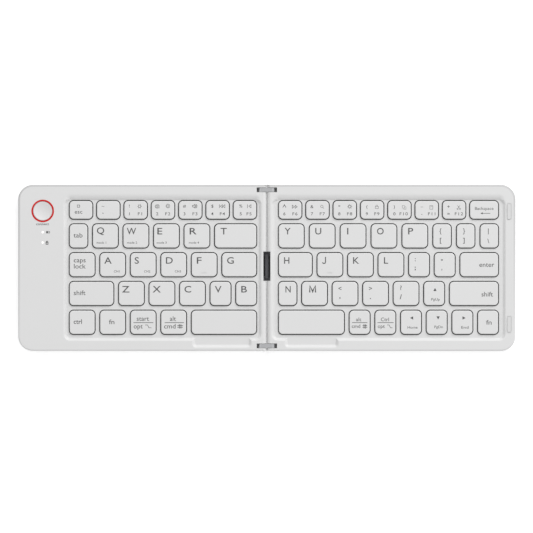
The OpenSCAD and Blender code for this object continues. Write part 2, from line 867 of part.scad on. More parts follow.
module scissors(side) {
  for (place = all_places(side))
    translate([abs(place[1]), place[2], 0]) scissor(place[3]);
}

// Rubber domes: a thin skirt, a stiff neck and a plunger that presses the switch
module domes(side) {
  neck_z = mechanism_h - 2 * dome_wall;
  plunger_z = mechanism_h - 3 * dome_wall;
  top = mechanism_h - layer_gap;
  for (place = all_places(side))
    translate([abs(place[1]), place[2], mechanism_z])
      rotate_extrude()
        polygon([
          [dome_r - 2 * dome_wall, 0], [dome_r, 0], [dome_r, dome_wall],
          [dome_top_r, neck_z], [dome_top_r, top], [0, top], [0, plunger_z],
          [dome_top_r - dome_wall, plunger_z]
        ]);
}

// --- Fixings ---------------------------------------------------------------

module feet(side) {
  chamfer = 0.3;
  for (place = screw_places(side))
    translate([place[0], place[1], 0])
      rotate_extrude()
        polygon([
          [0, 0], [foot_r - chamfer, 0], [foot_r, chamfer],
          [foot_r, under_z + foot_recess - layer_gap], [0, under_z + foot_recess - layer_gap]
        ]);
}

// Flat-headed screws with a cross recess, driven from below
module screws(side) {
  slot = [2, 0.4, 0.35];
  for (place = screw_places(side))
    translate([place[0], place[1], screw_head_z - layer_gap])
      difference() {
        union() {
          cylinder(r = screw_head_r, h = screw_head_h);
          cylinder(r = screw_r, h = screw_head_h + screw_len);
        }
        for (a = [0, 90]) rotate(a) cube([slot[0], slot[1], 2 * slot[2]], center = true);
      }
}

module hinge_pins() {
  for (m = [0, 1])
    mirror([0, m, 0])
      translate([axis_u, link_y, axis_z])
        rotate([90, 0, 0]) cylinder(r = pin_r, h = pin_len, center = true);
}

module magnets() {
  for (m = [0, 1])
    mirror([0, m, 0])
      translate([magnet_u - magnet_w / 2, bumper_y - magnet_len / 2, magnet_z])
        cube([magnet_w, magnet_len, magnet_t]);
}

module bumper_plan(room) {
  round_rect(bumper_w + 2 * room, bumper_len + 2 * room, bumper_r + room);
}

module bumpers() {
  for (m = [0, 1])
    mirror([0, m, 0])
      translate([bumper_u, bumper_y, top_z - bumper_recess])
        linear_extrude(bumper_recess + bumper_proud) bumper_plan(0);
}

// --- Hinge -----------------------------------------------------------------

module steel_links() {
  for (m = [0, 1])
    mirror([0, m, 0])
      translate([0, link_y, axis_z])
        rotate([90, 0, 0])
          linear_extrude(link_t, center = true)
            difference() {
              union() {
                square([2 * axis_u, 2 * link_r], center = true);
                for (s = [left, right]) translate([s * axis_u, 0]) circle(link_r);
              }
              for (s = [left, right]) translate([s * axis_u, 0]) circle(pin_r + pin_run);
            }
}

// Side view of the cable link: two knuckles, two arms and the strap
module cable_link_profile() {
  for (s = [left, right]) {
    translate([s * axis_u, axis_z]) circle(knuckle_r);
    translate([s * axis_u - arm_w / 2, strap_z]) square([arm_w, axis_z - strap_z]);
  }
  strap_profile();
}

module strap_profile() {
  translate([-axis_u - arm_w / 2, strap_z]) square([2 * axis_u + arm_w, strap_t]);
}

module cable_link_body() {
  translate([0, cable_link_y, 0]) {
    for (m = [0, 1])
      mirror([0, m, 0]) {
        translate([0, cable_link_len / 2, 0])
          rotate([90, 0, 0]) linear_extrude(knuckle_t) cable_link_profile();
        for (s = [left, right])
          translate([s * axis_u, cable_link_len / 2 - past / 2, axis_z])
            rotate([-90, 0, 0]) cylinder(r = trunnion_r, h = trunnion_len + past / 2);
      }
    difference() {
      rotate([90, 0, 0])
        linear_extrude(cable_link_len - 2 * knuckle_t, center = true) strap_profile();
      translate([-axis_u - arm_w, -cable_w / 2 - cable_room / 2, strap_z + strap_t - cable_channel_d])
        cube([2 * axis_u + 2 * arm_w, cable_w + cable_room, past]);
    }
    translate([0, 0, strap_z + strap_t - layer_gap])
      rotate([90, 0, 0])
        linear_extrude(cable_link_len - 2 * knuckle_t, center = true) bridge_profile();
  }
}

// Side view of the bridge: upright sides and a low round top
module bridge_profile() {
  top_r = bridge_w * 0.8;
  half_angle = asin(bridge_w / 2 / top_r);
  h = bridge_h + layer_gap;
  polygon(concat(
    [[-bridge_w / 2, 0], [bridge_w / 2, 0]],
    arc(0, h - top_r, top_r, 90 - half_angle, 90 + half_angle, 8)
  ));
}

module cable_middle() {
  length = 2 * axis_u;
  translate([-length / 2, cable_link_y - cable_w / 2, cable_z]) cube([length, cable_w, cable_t]);
}

module cable_tail() {
  translate([tail_u, cable_link_y - cable_w / 2, tail_z]) cube([tail_len, cable_w, cable_t]);
}

// --- Left margin -----------------------------------------------------------

module lens_places() {
  for (i = [0, 1])
    translate([button_u, button_y - lens_from_button - i * lens_pitch, 0]) children();
}

module lenses() {
  lens_places() {
    translate([0, 0, roof_z]) cylinder(r = lens_r - 0.02, h = roof_t);
    translate([0, 0, roof_z - lens_flange_t]) cylinder(r = lens_flange_r, h = lens_flange_t);
  }
}

module ring() {
  translate([button_u, button_y, top_z - ring_depth])
    rotate_extrude()
      translate([ring_r - ring_w, 0]) square([ring_w - 0.02, ring_depth + ring_proud]);
}

// Round button with a dished top, a flange that keeps it in, and a stem
module button() {
  top = top_z - button_drop;
  under_flange = button_flange_z - button_flange_t;
  flange_r = ring_r - 0.3;
  stem_r = 1.5;
  dish = 0.35;
  bevel = 0.15;
  land = 0.4;
  steps = 8;
  translate([button_u, button_y, 0])
    rotate_extrude()
      polygon(concat(
        [
          [0, button_stem_z], [stem_r, button_stem_z], [stem_r, under_flange],
          [flange_r, under_flange], [flange_r, button_flange_z],
          [button_r, button_flange_z], [button_r, top - bevel], [button_r - bevel, top]
        ],
        [
          for (i = [steps:-1:0])
            [(button_r - land) * i / steps, top - dish * (1 - pow(i / steps, 2))]
        ]
      ));
}

// Circuit board with the button's switch, a controller and a charging chip
module board() {
  switch_w = 3.5;
  plunger_h = 0.4;
  plunger_r = 1;
  chip_inset = 2;
  controller = [7, 7, 0.9];
  charger = [4, 3, 0.9];
  translate([board_u0, board_y0, board_z]) cube([board_w, board_len, board_t]);
  translate([button_u - switch_w / 2, button_y - switch_w / 2, board_top_z])
    cube([switch_w, switch_w, switch_z - plunger_h - board_top_z]);
  translate([button_u, button_y, switch_z - plunger_h - past / 2])
    cylinder(r = plunger_r, h = plunger_h + past / 2);
  translate([board_u0 + chip_inset, board_y0 + chip_inset, board_top_z - layer_gap])
    cube(controller);
  translate([
    board_u0 + chip_inset, board_y0 + 2 * chip_inset + controller[1], board_top_z - layer_gap
  ])
    cube(charger);
}

// Flat pouch cell
module battery_cell() {
  r = 1.2;
  translate([(battery_u0 + battery_u1) / 2, (battery_y0 + battery_y1) / 2, plate_z])
    linear_extrude(battery_t)
      round_rect(battery_u1 - battery_u0, battery_y1 - battery_y0, r);
}

module socket_outline(room) {
  round_rect(socket_w + 2 * room, socket_h + 2 * room, socket_h / 2 + room - 0.02);
}

// Charging socket: a flattened shell with a back wall and a tongue
module socket() {
  shell = 0.3;
  back = 1;
  tongue = [6.7, 0.7];
  tongue_drop = 1;
  translate([socket_u, socket_y1, socket_z])
    rotate([90, 0, 0]) {
      difference() {
        linear_extrude(socket_len) socket_outline(0);
        translate([0, 0, -past]) linear_extrude(socket_len - back + past) socket_outline(-shell);
      }
      translate([-tongue[0] / 2, -tongue[1] / 2, tongue_drop])
        cube([tongue[0], tongue[1], socket_len - tongue_drop - back / 2]);
    }
}

// --- Keys ------------------------------------------------------------------

module cap_section() {
  polygon(concat(
    [[0, skirt_z], [cap_r, skirt_z]],
    arc(cap_r - cap_edge, cap_z - cap_edge, cap_edge, 0, 90, 3),
    [[0, cap_z]]
  ));
}

module cap(w, d) {
  difference() {
    rimmed_block(w, d, cap_r, skirt_z, cap_z) cap_section();
    translate([cap_wall - w / 2, cap_wall - d / 2, skirt_z - past])
      cube([w - 2 * cap_wall, d - 2 * cap_wall, cap_roof_z - skirt_z + past]);
  }
}

// Bar on the caps under the two forefingers
module homing_bar(d) {
  translate([0, bar_inset - d / 2, cap_z - cap_top / 2])
    linear_extrude(cap_top / 2 + bar_h) round_rect(bar_len, bar_w, bar_w / 2 - 0.01);
}

// All caps of one half that belong to the named node
module caps(side, name) {
  places = [for (place = all_places(side)) if (place[0] == name) place];
  color(key_grey)
    for (i = [0:len(places) - 1])
      translate([places[i][1], places[i][2], 0]) {
        cap(places[i][3], places[i][4]);
        if (name == homing_keys(side)[0] && i == homing_keys(side)[1])
          homing_bar(places[i][4]);
      }
}

// --- Sub-parts -------------------------------------------------------------

module left_top_cover() { color(shell_grey) mirror_half(left) top_cover(left); }
module left_bottom_cover() { color(shell_grey) mirror_half(left) bottom_cover(left); }
module left_base_plate() { color(steel) mirror_half(left) base_plate(left); }
module left_membrane() { color("seagreen") mirror_half(left) membrane(left); }
module left_scissors() { color(rubber_white) mirror_half(left) scissors(left); }
module left_domes() { color("lightgray") mirror_half(left) domes(left); }
module left_hinge_pins() { color(steel) mirror_half(left) hinge_pins(); }
module left_feet() { color(black) mirror_half(left) feet(left); }
module left_screws() { color(steel) mirror_half(left) screws(left); }
module left_magnets() { color(steel) mirror_half(left) magnets(); }
module battery() { color("silver") mirror_half(left) battery_cell(); }
module main_board() { color("darkgreen") mirror_half(left) board(); }
module charging_socket() { color(steel) mirror_half(left) socket(); }
module button_ring() { color([0.78, 0.21, 0.18]) mirror_half(left) ring(); }
module indicator_lenses() { color(rubber_white) mirror_half(left) lenses(); }
module flex_cable_left() { color(black) mirror_half(left) cable_tail(); }
module connect_button() { color(key_grey) mirror_half(left) button(); }

module right_top_cover() { color(shell_grey) top_cover(right); }
module right_bottom_cover() { color(shell_grey) bottom_cover(right); }
module right_base_plate() { color(steel) base_plate(right); }
module right_membrane() { color("seagreen") membrane(right); }
module right_scissors() { color(rubber_white) scissors(right); }
module right_domes() { color("lightgray") domes(right); }
module right_hinge_pins() { color(steel) hinge_pins(); }
module right_feet() { color(black) feet(right); }
module right_screws() { color(steel) screws(right); }
module right_magnets() { color(steel) magnets(); }
module right_bumpers() { color(rubber_white) bumpers(); }
module flex_cable_right() { color(black) cable_tail(); }

module hinge_links() { color(steel) steel_links(); }
module cable_link() { color(black) cable_link_body(); }
module flex_cable_middle() { color(black) cable_middle(); }

left_top_cover();
left_bottom_cover();
left_base_plate();
left_membrane();
left_scissors();
left_domes();
left_hinge_pins();
left_feet();
left_screws();
left_magnets();
battery();
main_board();
charging_socket();
button_ring();
indicator_lenses();
flex_cable_left();
connect_button();
right_top_cover();
right_bottom_cover();
right_base_plate();
right_membrane();
right_scissors();
right_domes();
right_hinge_pins();
right_feet();
right_screws();
right_magnets();
right_bumpers();
flex_cable_right();
hinge_links();
cable_link();
flex_cable_middle();
for (side = [left, right], name = key_nodes(side))
  caps(side, name);

// Names of the key nodes of one half, each once
function key_nodes(side) = [
  for (i = [0:len(all_places(side)) - 1])
    let (name = all_places(side)[i][0])
    if (i == 0 || all_places(side)[i - 1][0] != name) name
];
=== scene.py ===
import math

import bmesh
import bpy
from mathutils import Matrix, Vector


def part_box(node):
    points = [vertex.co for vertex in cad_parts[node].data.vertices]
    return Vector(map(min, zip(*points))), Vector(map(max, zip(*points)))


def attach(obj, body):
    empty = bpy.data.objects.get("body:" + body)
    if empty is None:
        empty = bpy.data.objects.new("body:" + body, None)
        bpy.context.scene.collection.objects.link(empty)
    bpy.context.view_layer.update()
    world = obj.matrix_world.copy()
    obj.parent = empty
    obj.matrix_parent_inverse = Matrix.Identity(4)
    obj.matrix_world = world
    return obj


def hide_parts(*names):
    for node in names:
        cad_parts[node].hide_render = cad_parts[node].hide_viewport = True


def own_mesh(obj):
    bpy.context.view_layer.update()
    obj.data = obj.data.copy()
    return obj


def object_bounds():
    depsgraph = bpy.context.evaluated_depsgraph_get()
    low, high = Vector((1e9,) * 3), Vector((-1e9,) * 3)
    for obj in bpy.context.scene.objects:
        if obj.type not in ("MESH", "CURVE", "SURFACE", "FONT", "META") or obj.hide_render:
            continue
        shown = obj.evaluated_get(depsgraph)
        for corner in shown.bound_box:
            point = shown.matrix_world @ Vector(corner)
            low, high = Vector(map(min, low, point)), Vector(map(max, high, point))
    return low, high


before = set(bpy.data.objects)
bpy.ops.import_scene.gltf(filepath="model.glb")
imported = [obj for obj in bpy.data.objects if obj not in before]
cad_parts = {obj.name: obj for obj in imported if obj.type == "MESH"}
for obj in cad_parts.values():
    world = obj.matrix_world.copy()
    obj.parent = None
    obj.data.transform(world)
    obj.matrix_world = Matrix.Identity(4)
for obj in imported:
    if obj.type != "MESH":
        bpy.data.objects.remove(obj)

cad_low, cad_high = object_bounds()
mm = 0.001


# --- Studio --------------------------------------------------------------
# A white sheet under the keyboard and a large soft lamp behind its right
# corner, as in a catalogue photograph taken from straight above.

def hex_colour(code):
    """The linear colour of an sRGB hex value."""
    parts = [int(code[i:i + 2], 16) / 255 for i in (1, 3, 5)]
    return tuple(p / 12.92 if p <= 0.04045 else ((p + 0.055) / 1.055) ** 2.4 for p in parts) + (1,)


def add_node(tree, kind, inputs=None, **settings):
    """Adds one node. A socket among the inputs becomes a link, anything else a value."""
    node = tree.nodes.new(kind)
    for name, value in settings.items():
        setattr(node, name, value)
    for name, value in (inputs or {}).items():
        if isinstance(value, bpy.types.NodeSocket):
            tree.links.new(value, node.inputs[name])
        else:
            node.inputs[name].default_value = value
    return node


def new_material(name):
    """An empty node material."""
    material = bpy.data.materials.new(name)
    material.use_nodes = True
    material.node_tree.nodes.clear()
    return material, material.node_tree


scene = bpy.context.scene
scene.view_settings.view_transform = "Standard"

# The camera looks straight down and takes in what the photograph does, at the key tops.
photo_width = 325.7 * mm
photo_centre = (-0.23 * mm, 0.8 * mm)
focal_length = 400             # a long lens, because the photograph shows no perspective
sensor = 36
camera_data = bpy.data.cameras.new("camera")
camera_data.lens = focal_length
camera_data.sensor_width = sensor
camera = bpy.data.objects.new("camera", camera_data)
camera.location = (*photo_centre, cad_high.z + photo_width * focal_length / sensor)
scene.collection.objects.link(camera)
scene.camera = camera

# White walls and ceiling, which the camera sees as plain white.
zenith_level = 0.55
horizon_level = 1.0            # the walls of a white room reflect more than its ceiling
world = bpy.data.worlds.new("studio")
scene.world = world
world.use_nodes = True
tree = world.node_tree
tree.nodes.clear()
view = add_node(tree, "ShaderNodeTexCoord").outputs["Generated"]
upward = add_node(tree, "ShaderNodeSeparateXYZ", {"Vector": view}).outputs["Z"]
level = add_node(tree, "ShaderNodeMapRange", {"Value": upward, "To Min": horizon_level,
                                              "To Max": zenith_level})
rays = add_node(tree, "ShaderNodeLightPath")
seen = add_node(tree, "ShaderNodeMath", {0: rays.outputs["Is Camera Ray"],
                                         1: rays.outputs["Is Transmission Ray"]}, operation="MAXIMUM")
fill = add_node(tree, "ShaderNodeBackground", {"Color": (1, 1, 1, 1), "Strength": level.outputs[0]})
white = add_node(tree, "ShaderNodeBackground", {"Color": (1, 1, 1, 1), "Strength": 1})
mix = add_node(tree, "ShaderNodeMixShader", {0: seen.outputs[0], 1: fill.outputs[0], 2: white.outputs[0]})
add_node(tree, "ShaderNodeOutputWorld", {"Surface": mix.outputs[0]})

# A softbox of 1.6 by 1.1 m, two and a half metres away.
lamp_data = bpy.data.lights.new("softbox", "AREA")
lamp_data.shape = "RECTANGLE"
lamp_data.size = 1.6
lamp_data.size_y = 1.1
lamp_data.energy = 36
lamp = bpy.data.objects.new("softbox", lamp_data)
lamp.location = (1.1, 1.75, 1.55)
lamp.rotation_mode = "QUATERNION"
lamp.rotation_quaternion = lamp.location.to_track_quat("Z", "Y")
scene.collection.objects.link(lamp)

# Uncoated paper is quite matt. To the camera it is lifted to plain white, so that only the
# keyboard's soft shadow shows on it, as in the photograph.
paper_lift = 0.45
sheet_half = 4                 # metres
sheet_paper, tree = new_material("white paper sheet")
rays = add_node(tree, "ShaderNodeLightPath")
paper = add_node(tree, "ShaderNodeBsdfDiffuse", {"Color": hex_colour("#F4F4F4")})
lift = add_node(tree, "ShaderNodeEmission", {"Color": (1, 1, 1, 1), "Strength": paper_lift})
lifted = add_node(tree, "ShaderNodeAddShader", {0: paper.outputs[0], 1: lift.outputs[0]})
seen = add_node(tree, "ShaderNodeMixShader",
                {0: rays.outputs["Is Camera Ray"], 1: paper.outputs[0], 2: lifted.outputs[0]})
add_node(tree, "ShaderNodeOutputMaterial", {"Surface": seen.outputs[0]})
sheet_mesh = bpy.data.meshes.new("floor")
sheet_mesh.from_pydata(
    [(-sheet_half, -sheet_half, 0), (sheet_half, -sheet_half, 0),
     (sheet_half, sheet_half, 0), (-sheet_half, sheet_half, 0)],
    [], [(0, 1, 2, 3)])
sheet_mesh.materials.append(sheet_paper)
floor = bpy.data.objects.new("floor", sheet_mesh)
scene.collection.objects.link(floor)


# --- Covers --------------------------------------------------------------
# The four shells of the two halves. They are moulded in pale grey ABS in a
# tool with a fine spark-eroded grain, which kills the gloss. A painted shade
# darkens their outer edge, most at the back.

def dress(material, *nodes):
    """Gives CAD nodes their finish."""
    for name in nodes:
        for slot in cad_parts[name].material_slots:
            slot.material = material


outline_r = 9 * mm             # the round corners of the open keyboard
edge_shade_start = 1.5 * mm          # the painted edge shade begins this far inside the outline
edge_shade_full = 0.7 * mm           # and is darkest from here outward
# the grey that the painted edge shade darkens the covers towards
edge_shade_grey = hex_colour("#C0C0C0")


def painted_edge_shade(tree, place, tone):
    """The tone of a cover, darkened by a painted shade along its rolled edge, most at the back."""
    inner = (cad_high.x - outline_r, cad_high.y - outline_r, 0)
    mirrored = add_node(tree, "ShaderNodeVectorMath", {0: place}, operation="ABSOLUTE")
    past = add_node(tree, "ShaderNodeVectorMath", {0: mirrored.outputs[0], 1: inner}, operation="SUBTRACT")
    past = add_node(tree, "ShaderNodeVectorMath", {0: past.outputs[0], 1: (0, 0, 0)}, operation="MAXIMUM")
    past = add_node(tree, "ShaderNodeVectorMath", {0: past.outputs[0], 1: (1, 1, 0)}, operation="MULTIPLY")
    reach = add_node(tree, "ShaderNodeVectorMath", {0: past.outputs[0]}, operation="LENGTH")
    band = add_node(tree, "ShaderNodeMapRange",
                    {"Value": reach.outputs["Value"], "From Min": outline_r - edge_shade_start,
                     "From Max": outline_r - edge_shade_full})
    y = add_node(tree, "ShaderNodeSeparateXYZ", {"Vector": place}).outputs["Y"]
    backward = add_node(tree, "ShaderNodeMapRange", {"Value": y, "From Min": -cad_high.y,
                                                     "From Max": cad_high.y})
    share = add_node(tree, "ShaderNodeMath", {0: band.outputs[0], 1: backward.outputs[0]},
                     operation="MULTIPLY")
    mixed = add_node(tree, "ShaderNodeMix", {"Factor": share.outputs[0], "A": tone, "B": edge_shade_grey},
                     data_type="RGBA")
    return mixed.outputs["Result"]


cloud_w = 30 * mm              # a moulding's tone changes slowly over its face
cloud_dark = 0.975             # its darkest spots, as a share of the colour
sheen_wander = 0.05            # and its roughness changes by this
plastic_ior = 1.53


def moulded(name, colour, roughness, grain, depth, edge=None):
    """A moulded plastic: a slightly uneven tone, which edge may darken with a painted shade, and a grain
    of the given size and depth. A real grain is mostly under a tenth of a millimetre, too fine to show,
    and is drawn as coarse as it has to be."""
    material, tree = new_material(name)
    place = add_node(tree, "ShaderNodeTexCoord").outputs["Object"]
    cloud = add_node(tree, "ShaderNodeTexNoise", {"Vector": place, "Scale": 1 / cloud_w, "Detail": 2})
    tone = add_node(tree, "ShaderNodeMix", {"Factor": cloud.outputs["Fac"],
                                            "A": tuple(c * cloud_dark for c in colour[:3]) + (1,),
                                            "B": colour}, data_type="RGBA").outputs["Result"]
    if edge:
        tone = edge(tree, place, tone)
    pits = add_node(tree, "ShaderNodeTexNoise", {"Vector": place, "Scale": 1 / grain, "Detail": 4,
                                                 "Roughness": 0.6})
    sheen = add_node(tree, "ShaderNodeMapRange", {"Value": pits.outputs["Fac"],
                                                  "To Min": roughness - sheen_wander,
                                                  "To Max": roughness + sheen_wander})
    bump = add_node(tree, "ShaderNodeBump", {"Height": pits.outputs["Fac"], "Distance": depth,
                                             "Strength": 0.6})
    surface = add_node(tree, "ShaderNodeBsdfPrincipled",
                       {"Base Color": tone, "Roughness": sheen.outputs["Result"],
                        "Normal": bump.outputs["Normal"], "IOR": plastic_ior})
    add_node(tree, "ShaderNodeOutputMaterial", {"Surface": surface.outputs[0]})
    return material


# Spark-grained ABS looks matt, with a soft sheen and no mirror image, because the pits of the
# grain scatter the light. Its outer edge gets a painted shade, darkest at the back.
cover_abs = moulded("spark-grained ABS", hex_colour("#E0E0E0"), 0.55, 0.35 * mm, 0.01 * mm, painted_edge_shade)
dress(cover_abs, "left_top_cover", "left_bottom_cover", "right_top_cover", "right_bottom_cover")


# --- Feet, screws and bumpers ---------------------------------------------
# Rubber discs glued into the bottom cover over the screw heads, and two soft
# strips on the right margin that keep the closed halves apart.

# Silicone rubber from a plain mould: dark, and so matt that the feet have no highlight.
foot_rubber = moulded("moulded silicone rubber", hex_colour("#5A5B5D"), 0.75, 0.5 * mm, 0.02 * mm)
dress(foot_rubber, "left_feet", "right_feet")

# The same rubber in pale grey, a touch darker and duller than the ABS round it.
bumper_rubber = moulded("soft pale silicone", hex_colour("#D9D9D9"), 0.65, 0.5 * mm, 0.01 * mm)
dress(bumper_rubber, "right_bumpers")


brightest_line = 0.08          # a line is at most this much smoother than the metal round it
dullest_line = 0.1             # or this much rougher
line_depth = 0.004 * mm


def worked_metal(name, colour, roughness, *spacing):
    """A worked metal with fine lines in it, so many mm apart along each axis. Real lines are some
    hundredths of a millimetre apart, too fine to show, and these are as wide as they have to be."""
    material, tree = new_material(name)
    place = add_node(tree, "ShaderNodeTexCoord").outputs["Object"]
    stretched = add_node(tree, "ShaderNodeMapping",
                         {"Vector": place, "Scale": [1 / (gap * mm) for gap in spacing]})
    lines = add_node(tree, "ShaderNodeTexNoise", {"Vector": stretched.outputs[0], "Scale": 1, "Detail": 5})
    polish = add_node(tree, "ShaderNodeMapRange", {"Value": lines.outputs["Fac"],
                                                   "To Min": roughness - brightest_line,
                                                   "To Max": roughness + dullest_line})
    bump = add_node(tree, "ShaderNodeBump", {"Height": lines.outputs["Fac"], "Distance": line_depth,
                                             "Strength": 0.5})
    surface = add_node(tree, "ShaderNodeBsdfPrincipled",
                       {"Base Color": colour, "Metallic": 1, "Roughness": polish.outputs["Result"],
                        "Normal": bump.outputs["Normal"]})
    add_node(tree, "ShaderNodeOutputMaterial", {"Surface": surface.outputs[0]})
    return material


# Zinc plating on steel: a bright grey with a half-dull bloom, the same in every direction.
screw_steel = worked_metal("zinc-plated steel", hex_colour("#C6C7C9"), 0.35, 1.1, 1.1, 1.1)
dress(screw_steel, "left_screws", "right_screws")


# --- Plates and membranes ---------------------------------------------------
# Under the keys of each half, a rolled steel plate and a printed film of
# switches lie on the bottom cover.

# Cold-rolled sheet: mid grey and half dull, with faint lines in the direction of rolling.
plate_steel = worked_metal("rolled steel sheet", hex_colour("#8E9093"), 0.45, 25, 0.4, 0.4)
dress(plate_steel, "left_base_plate", "right_base_plate")

# Polyester film printed dark on its back: smooth, with a soft gloss.
membrane_film = moulded("printed polyester film", hex_colour("#3A3C3E"), 0.4, 1.5 * mm, 0.004 * mm)
dress(membrane_film, "left_membrane", "right_membrane")


# --- Scissors and domes ------------------------------------------------------
# Each cap stands on two crossed frames of acetal with a silicone dome in the
# middle, which on the real keyboard fold flat under it as it goes down. Here each
# key's frames and dome are a piece of their own that rides on its half.

key_nodes = [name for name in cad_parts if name.startswith("key_") or name.endswith("_keys")]


def caps_in(node):
    """The rectangles of a node's caps from left to right: (left, right, front, back)."""
    low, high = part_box(node)
    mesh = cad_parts[node].data
    # Its faces from left to right are gathered into caps wherever they overlap.
    spans = []
    for face in sorted(mesh.polygons, key=lambda f: min(mesh.vertices[v].co.x for v in f.vertices)):
        xs = [mesh.vertices[v].co.x for v in face.vertices]
        if spans and min(xs) <= spans[-1][1]:
            spans[-1][1] = max(spans[-1][1], *xs)
        else:
            spans.append([min(xs), max(xs)])
    return [(left, right, low.y, high.y) for left, right in spans]


def under_caps(node, key):
    """The part of a node's mesh that lies below the caps of a key node."""
    part = bmesh.new()
    part.from_mesh(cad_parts[node].data)
    caps = caps_in(key)
    others = []
    for face in part.faces:
        spot = face.calc_center_median()
        if not any(left < spot.x < right and front < spot.y < back for left, right, front, back in caps):
            others.append(face)
    bmesh.ops.delete(part, geom=others, context="FACES")
    mesh = bpy.data.meshes.new(node)
    part.to_mesh(mesh)
    part.free()
    return mesh


# Acetal without pigment looks milky and a little waxy. The silicone of the domes lets the dark
# membrane through and looks greyer.
acetal = moulded("natural acetal", hex_colour("#B9B8B2"), 0.45, 0.4 * mm, 0.005 * mm)
dome_silicone = moulded("translucent silicone", hex_colour("#9A9B9B"), 0.5, 0.4 * mm, 0.005 * mm)
for key in key_nodes:
    half = "left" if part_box(key)[0].x < 0 else "right"
    short = key.replace("key_", "").replace("_keys", "")
    for kind, material, finish in (("scissors", acetal, "mechanism_plastic"),
                                   ("domes", dome_silicone, "dome_rubber")):
        node = f"{half}_{kind}"
        support = bpy.data.objects.new(f"{kind}_{short}", under_caps(node, key))
        support.data.materials.clear()
        support.data.materials.append(material)
        scene.collection.objects.link(support)
        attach(support, f"{half}_half")
        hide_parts(node)
        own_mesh(support)


# --- Battery, board, magnets and cable -------------------------------------
# What fills the left margin: a foil cell taped to the floor and a board with
# the button's switch and the charging socket. The cable is black film.

# The pouch is aluminium foil under a clear skin: silvery, with faint embossed dimples.
battery_foil = moulded("embossed aluminium pouch", hex_colour("#B4B6B9"), 0.35, 0.8 * mm, 0.03 * mm)
dress(battery_foil, "battery")

# Solder mask is a lacquer: deep green, smooth and glossy.
solder_mask = moulded("green solder mask", hex_colour("#1F5A35"), 0.3, 0.6 * mm, 0.01 * mm)
dress(solder_mask, "main_board")

# Nickel plating on a ground block: bright and a little warm, with a blurred mirror image.
magnet_nickel = worked_metal("nickel-plated magnet", hex_colour("#BDBDBB"), 0.2, 2, 2, 2)
dress(magnet_nickel, "left_magnets", "right_magnets")

# Polyimide with a black cover film: smooth, with a soft gloss.
cable_film = moulded("black polyimide film", hex_colour("#161617"), 0.35, 0.6 * mm, 0.004 * mm)
dress(cable_film, "flex_cable_left", "flex_cable_middle", "flex_cable_right")


# --- Charging socket -------------------------------------------------------
# A drawn steel shell in the back wall, soldered to the board, with a tongue
# in its mouth.

# Stainless steel drawn to a shell: bright, with lines that run into the mouth.
socket_steel = worked_metal("drawn stainless steel", hex_colour("#C9CACC"), 0.28, 0.4, 17, 0.4)
dress(socket_steel, "charging_socket")


# --- Hinge -----------------------------------------------------------------
# Two stamped steel links at the ends of the seam, each on two pins, and a
# moulded nylon link in the middle that carries the cable.

# Brushed steel: bright, with lines along the links that spread each highlight across them.
link_steel = worked_metal("brushed steel", hex_colour("#DADBDD"), 0.34, 17, 0.4, 0.4)
dress(link_steel, "hinge_links", "left_hinge_pins", "right_hinge_pins")

# Nylon with short glass fibres: dark grey and half dull, a little uneven where fibres show.
link_nylon = moulded("dark glass-filled nylon", hex_colour("#6C6C70"), 0.42, 0.4 * mm, 0.01 * mm)
dress(link_nylon, "cable_link")


# --- Connect button, its ring and the lenses -------------------------------
# A round dished button inside a glossy red ring, and two milky light guides
# below it. A flange holds the button under the cover.

# The same ABS as the covers in a finer grain, which gives it a slightly clearer sheen.
key_abs = moulded("fine-grained ABS", hex_colour("#E0E0E0"), 0.5, 0.25 * mm, 0.006 * mm)
button_low, button_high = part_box("connect_button")
button_x = (button_low.x + button_high.x) / 2
button_y = (button_low.y + button_high.y) / 2
ring_band = 1.03 * mm          # the ring and the gap round the button
button_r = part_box("button_ring")[1].x - button_x - ring_band
button_edge = 0.15 * mm        # the bevel round the top
button_land = 0.4 * mm         # the flat round the dish
dish_depth = 0.9 * mm
dish_steps = 12
stem_r = 1.5 * mm
flange_top = button_high.z - 1.1 * mm
flange_t = 0.5 * mm
flange_r = (button_high.x - button_low.x) / 2
dish_r = button_r - button_land
turn_steps = 96
sharp_angle = math.radians(25)

# Its profile from the middle of the foot, up the side and down the dish: (radius, height).
profile = [(0, button_low.z), (stem_r, button_low.z), (stem_r, flange_top - flange_t),
           (flange_r, flange_top - flange_t), (flange_r, flange_top), (button_r, flange_top),
           (button_r, button_high.z - button_edge), (button_r - button_edge, button_high.z)]
profile += [(dish_r * i / dish_steps, button_high.z - dish_depth * (1 - (i / dish_steps) ** 2))
            for i in range(dish_steps, -1, -1)]
turning = bmesh.new()
corners = [turning.verts.new((button_x + r, button_y, z)) for r, z in profile]
edges = [turning.edges.new(pair) for pair in zip(corners, corners[1:])]
bmesh.ops.spin(turning, geom=corners + edges, cent=(button_x, button_y, 0), axis=(0, 0, 1),
               angle=2 * math.pi, steps=turn_steps, use_merge=True)
bmesh.ops.remove_doubles(turning, verts=turning.verts, dist=0.001 * mm)
bmesh.ops.recalc_face_normals(turning, faces=turning.faces)
button_mesh = bpy.data.meshes.new("dished_button")
turning.to_mesh(button_mesh)
turning.free()
button_mesh.materials.append(key_abs)
button = bpy.data.objects.new("dished_button", button_mesh)
scene.collection.objects.link(button)
button_mesh.shade_smooth()
button_mesh.set_sharp_from_angle(angle=sharp_angle)
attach(button, "connect_button")
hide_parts("connect_button")

# Glossy ABS from a polished tool: an even red with a clear highlight.
ring_red = moulded("glossy red ABS", hex_colour("#D2120C"), 0.2, 2 * mm, 0.002 * mm)
dress(ring_red, "button_ring")
